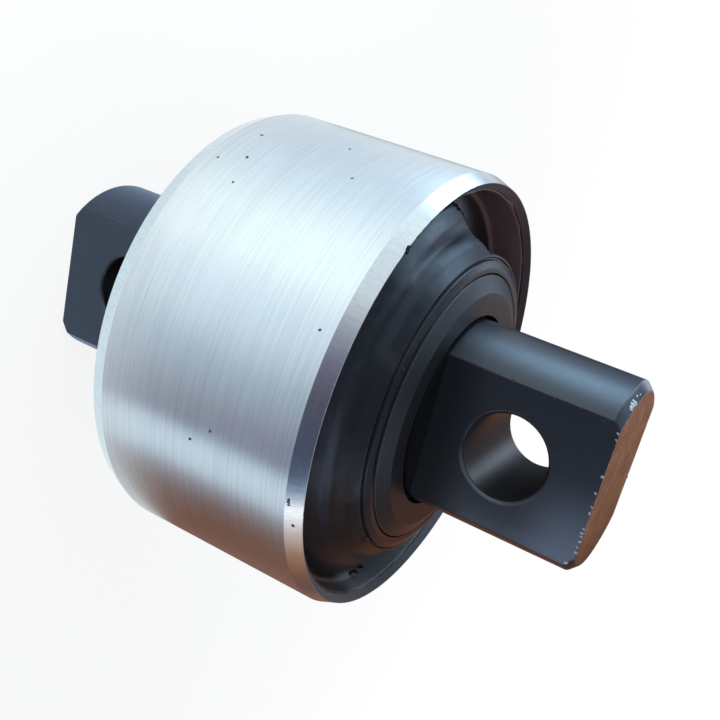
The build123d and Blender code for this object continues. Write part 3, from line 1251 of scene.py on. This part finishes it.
class BUSH_OT_paint_chips(bpy.types.Operator):
    """Chip the paint along the edges of the bar's end faces"""

    bl_idname = "bush.paint_chips"
    bl_label = "Paint Chips"

    def execute(self, context):
        flat, end = FLAT_SIDE / MM, BAR_END / MM
        chips = [(x, y, end - depth, size) for x, y, depth, size in ROUND_CHIPS]
        chips += [(x, -flat, end - depth, size) for x, depth, size in FLAT_CHIPS]
        draw = Random(context.scene.bush_bar.chip_seed)
        for side in (1, -1):
            for _ in range(HIDDEN_CHIPS):
                depth = end - draw.uniform(0.2, 0.5)
                chips.append((draw.uniform(-12.5, 12.5), flat, side * depth, draw.uniform(0.14, 0.26)))
        nicks = [(x, side * flat, *rest) for x, side, *rest in NICKS]
        bare = plain_finish("Bare chip", (0.62, 0.63, 0.65), 0.35, metallic=0.7)
        dark = bpy.data.materials["Dark grit"]
        for name, places, material in (("paint_chips", chips, bare), ("paint_nicks", nicks, dark)):
            inputs = {"Flatness": 0.12, "Stretch": 1.5, "Ragged": 1.5, "Seed": 11, "Material": material}
            stick_blobs(name, places, "cross_bar", "painted_bar", inputs)
        return {"FINISHED"}


# Studio


def seen_white(tree):
    """1 where the camera, a reflection or a clear material looks, and 0 for other light."""
    rays = new_node(tree, "ShaderNodeLightPath").outputs
    kinds = ("Camera", "Glossy", "Transmission")
    camera, glossy, clear = (Wire(tree, rays[f"Is {kind} Ray"]) for kind in kinds)
    return camera | glossy | clear


def make_world(settings):
    """White to the eye and in reflections, an even pale room for the light that falls."""
    world = bpy.data.worlds.new("Pale room")
    world.use_nodes = True
    background = world.node_tree.nodes["Background"]
    seen = seen_white(world.node_tree)
    fill(background.inputs["Color"], mix_colours(seen, ROOM_TINT, WHITE))
    fill(background.inputs["Strength"], mix_values(seen, settings.room_strength, 1.0))
    bpy.context.scene.world = world


def make_floor(settings):
    """Plain pale floor under the bar's lower end, which keeps a soft shadow near the part."""
    mesh = bpy.data.meshes.new("floor")
    corners = [(-1, -1), (1, -1), (1, 1), (-1, 1)]
    places = [(x * FLOOR_REACH, y * FLOOR_REACH, -BAR_END) for x, y in corners]
    mesh.from_pydata(places, [], [(0, 1, 2, 3)])
    floor = new_object("floor", mesh)
    material, tree, shader = new_material("Pale floor")
    fill(shader.inputs["Base Color"], (*settings.floor_colour, 1.0))
    fill(shader.inputs["Roughness"], 1.0)
    fill(shader.inputs["Specular IOR Level"], 0.0)
    _, x, y, _ = place_in(tree)
    lit = mix_values(step(length_of(x, y), *FLOOR_FADE), WHITE_NEAR_PART, 1.0)
    plain, white = Wire(tree, shader.outputs[0]), add_node(tree, "ShaderNodeEmission")
    blend = add_node(tree, "ShaderNodeMixShader", {0: seen_white(tree) * lit, 1: plain, 2: white})
    fill(tree.nodes["Material Output"].inputs["Surface"], blend)
    mesh.materials.append(material)


def glowing(name, colour_in):
    """Material that only glows, in the colour that a function makes in its tree."""
    material = bpy.data.materials.new(name)
    material.use_nodes = True
    tree = material.node_tree
    tree.nodes.remove(tree.nodes["Principled BSDF"])
    glow = add_node(tree, "ShaderNodeEmission", {"Color": colour_in(tree)})
    fill(tree.nodes["Material Output"].inputs["Surface"], glow)
    return material


def ring_tones(turn, level):
    """Tone of the cards all the way round at one of their two levels."""
    ramp = new_node(turn.tree, "ShaderNodeValToRGB", {0: turn})
    stops = ramp.color_ramp.elements
    first, last = CARDS[0], CARDS[-1]
    share = (360 - last[0]) / (360 - last[0] + first[0])
    seam = [a + (b - a) * share for a, b in zip(last[level], first[level])]
    stops[0].color = stops[1].color = (*seam, 1.0)
    for card in CARDS:
        stops.new(card[0] / 360).color = (*card[level], 1.0)
    return Wire(turn.tree, ramp.outputs[0])


def card_colour(tree):
    """Tones of the cards, which change with the height, and the glows on them."""
    _, x, y, z = place_in(tree)
    turn = maths(tree, "FRACT", maths(tree, "ARCTAN2", y, x) / (2 * pi) + 1.0)
    low, high = (ring_tones(turn, level) for level in (1, 2))
    colour = mix_colours(step(z, *CARD_CHANGE), low, high)
    gain = mix_colours(step(z, *CARD_TOP_CHANGE), WHITE, CARD_TOP_GAIN)
    colour = vector_maths("MULTIPLY", colour, gain)
    colour = mix_colours(step(z, CARD_TOP - CEILING_EDGE, CARD_TOP), colour, CEILING_TONE)
    azimuth = turn * 360.0
    for middle, half_width, height, half_height, tone in GLOWS:
        spot = hump(azimuth, middle, half_width) * hump(z, height * MM, half_height * MM)
        colour = vector_maths("ADD", colour, scaled(spot, tone))
    return colour


def floor_card_colour(tree):
    """Tones of the card on the floor, near the part's axis and farther out."""
    _, x, y, _ = place_in(tree)
    return mix_colours(step(length_of(x, y), *FLOOR_CHANGE), *FLOOR_TONES)


def make_cards():
    """Ring of white, grey and warm cards between a ceiling and a floor, seen only in reflections."""
    numbers = range(CARD_SIDES)
    turns = [2 * pi * number / CARD_SIDES for number in numbers]
    ring = [(CARD_RADIUS * cos(turn), CARD_RADIUS * sin(turn)) for turn in turns]
    vertices = [(x, y, z) for z in (CARD_FOOT, CARD_TOP) for x, y in ring]
    sides = [(i, i + CARD_SIDES, (i + 1) % CARD_SIDES + CARD_SIDES, (i + 1) % CARD_SIDES) for i in numbers]
    ceiling = tuple(i + CARD_SIDES for i in numbers)
    mesh = bpy.data.meshes.new("cards")
    mesh.from_pydata(vertices, [], [*sides, ceiling, tuple(numbers)])
    mesh.materials.append(glowing("Reflector cards", card_colour))
    mesh.materials.append(glowing("Floor card", floor_card_colour))
    mesh.polygons[-1].material_index = 1
    cards = new_object("reflector_cards", mesh)
    for kind in ("camera", "diffuse", "transmission", "shadow", "volume_scatter"):
        setattr(cards, f"visible_{kind}", False)


def make_lamp(name, place, size, power, colour):
    """Large soft lamp that looks at the part and isn't mirrored in it."""
    light = bpy.data.lights.new(name, "AREA")
    light.shape = "DISK"
    light.size = size
    light.energy = power
    light.color = colour
    lamp = bpy.data.objects.new(name, light)
    lamp.location = place
    lamp.rotation_mode = "QUATERNION"
    lamp.rotation_quaternion = (-Vector(place)).to_track_quat("-Z", "Y")
    lamp.visible_glossy = False
    bpy.context.scene.collection.objects.link(lamp)


def make_camera():
    """Camera at the photograph's place, turned, rolled and shifted as the fit gives it."""
    lens = bpy.data.cameras.new("photo_camera")
    lens.lens = CAMERA_LENS
    lens.shift_x, lens.shift_y = CAMERA_SHIFT
    lens.clip_start = 0.005
    camera = bpy.data.objects.new("photo_camera", lens)
    camera.location = CAMERA_PLACE
    camera.rotation_mode = "QUATERNION"
    aimed = (CAMERA_AIM - CAMERA_PLACE).to_track_quat("-Z", "Y")
    camera.rotation_quaternion = aimed @ Quaternion((0, 0, 1), CAMERA_ROLL)
    bpy.context.scene.collection.objects.link(camera)
    bpy.context.scene.camera = camera


class BUSH_OT_studio(bpy.types.Operator):
    """Set up the pale floor, the room, the cards, the soft lamps and the camera"""

    bl_idname = "bush.studio"
    bl_label = "Studio"

    def execute(self, context):
        settings = context.scene.bush_studio
        context.scene.view_settings.view_transform = "Standard"
        make_world(settings)
        make_floor(settings)
        make_cards()
        make_lamp("key_lamp", (-0.42, -0.08, 0.22), 0.35, settings.key_power, KEY_TINT)
        make_lamp("fill_lamp", (-0.05, -0.45, 0.30), 0.30, settings.fill_power, FILL_TINT)
        make_camera()
        return {"FINISHED"}


class BUSH_PT_sidebar(bpy.types.Panel):
    """Lists the bush's settings and the steps that make it"""

    bl_idname = "BUSH_PT_sidebar"
    bl_label = "Rubber Metal Bush"
    bl_space_type = "VIEW_3D"
    bl_region_type = "UI"
    bl_category = "Bush"

    def draw(self, context):
        for name, group in SETTINGS.items():
            box = self.layout.box()
            box.label(text=group.__doc__)
            for setting in group.__annotations__:
                box.prop(getattr(context.scene, name), setting)
        for operator in OPERATORS:
            self.layout.operator(operator.bl_idname)


SETTINGS = {
    "bush_sleeve": BushSleeveSettings,
    "bush_rubber": BushRubberSettings,
    "bush_hub": BushHubSettings,
    "bush_bar": BushBarSettings,
    "bush_studio": BushStudioSettings,
}
OPERATORS = (
    BUSH_OT_outer_sleeve,
    BUSH_OT_sleeve_specks,
    BUSH_OT_rubber_body,
    BUSH_OT_rubber_flash,
    BUSH_OT_rubber_crumbs,
    BUSH_OT_hub,
    BUSH_OT_cross_bar,
    BUSH_OT_paint_chips,
    BUSH_OT_studio,
)


def register():
    for group in SETTINGS.values():
        bpy.utils.register_class(group)
    for name, group in SETTINGS.items():
        setattr(bpy.types.Scene, name, PointerProperty(type=group))
    for operator in OPERATORS:
        bpy.utils.register_class(operator)
    bpy.utils.register_class(BUSH_PT_sidebar)


def unregister():
    bpy.utils.unregister_class(BUSH_PT_sidebar)
    for operator in reversed(OPERATORS):
        bpy.utils.unregister_class(operator)
    for name, group in SETTINGS.items():
        delattr(bpy.types.Scene, name)
        bpy.utils.unregister_class(group)


def main():
    register()
    for operator in OPERATORS:
        group, name = operator.bl_idname.split(".")
        getattr(getattr(bpy.ops, group), name)()


if __name__ == "__main__":
    main()
